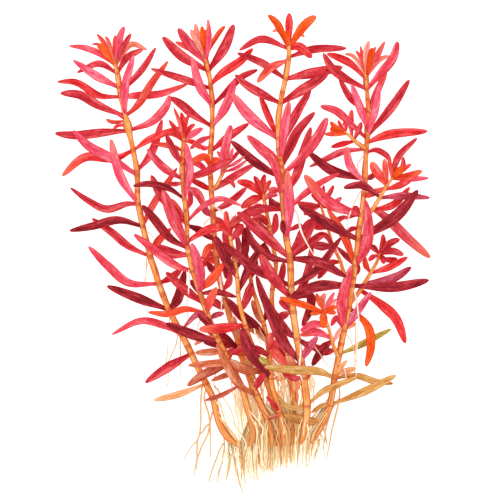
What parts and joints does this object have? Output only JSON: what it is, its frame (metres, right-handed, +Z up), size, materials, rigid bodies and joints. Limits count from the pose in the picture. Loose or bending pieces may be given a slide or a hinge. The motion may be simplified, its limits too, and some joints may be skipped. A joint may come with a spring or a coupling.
{
  "type": "rotala bunch",
  "caption": "Loose bunch of red leafy water plant stems with side shoots and fine pale roots, lying on its side as picked",
  "frame": {"origin": "centre of the bunch's footprint, on the surface it lies on", "axes": "+Y along the stems from roots to tips, +X across the bunch, +Z up from the surface"},
  "size_m": [0.1411, 0.18, 0.0298],
  "materials": {
    "leaves": "satin, thin red leaf tissue",
    "stem": "smooth, moist orange stem",
    "roots": "matt, pale tan strands"
  },
  "bodies": {
    "root": {"far_left_shoot": "leaves", "left_shoot": "leaves", "back_left_shoot": "leaves", "centre_shoot": "leaves", "right_shoot": "leaves", "inner_left_shoot": "leaves", "inner_shoot": "leaves", "back_centre_shoot": "leaves", "right_upper_side_shoot": "leaves", "right_front_side_shoot": "leaves", "right_lower_side_shoot": "leaves", "right_low_fork_shoot": "leaves", "right_inner_fork_shoot": "leaves", "back_left_side_shoot": "leaves", "far_left_roots": "roots", "left_roots": "roots", "back_left_roots": "roots", "centre_roots": "roots", "right_roots": "roots", "inner_left_roots": "roots", "inner_roots": "roots", "back_centre_roots": "roots", "left_loose_roots": "roots", "right_loose_root": "roots"}
  },
  "joints": []
}
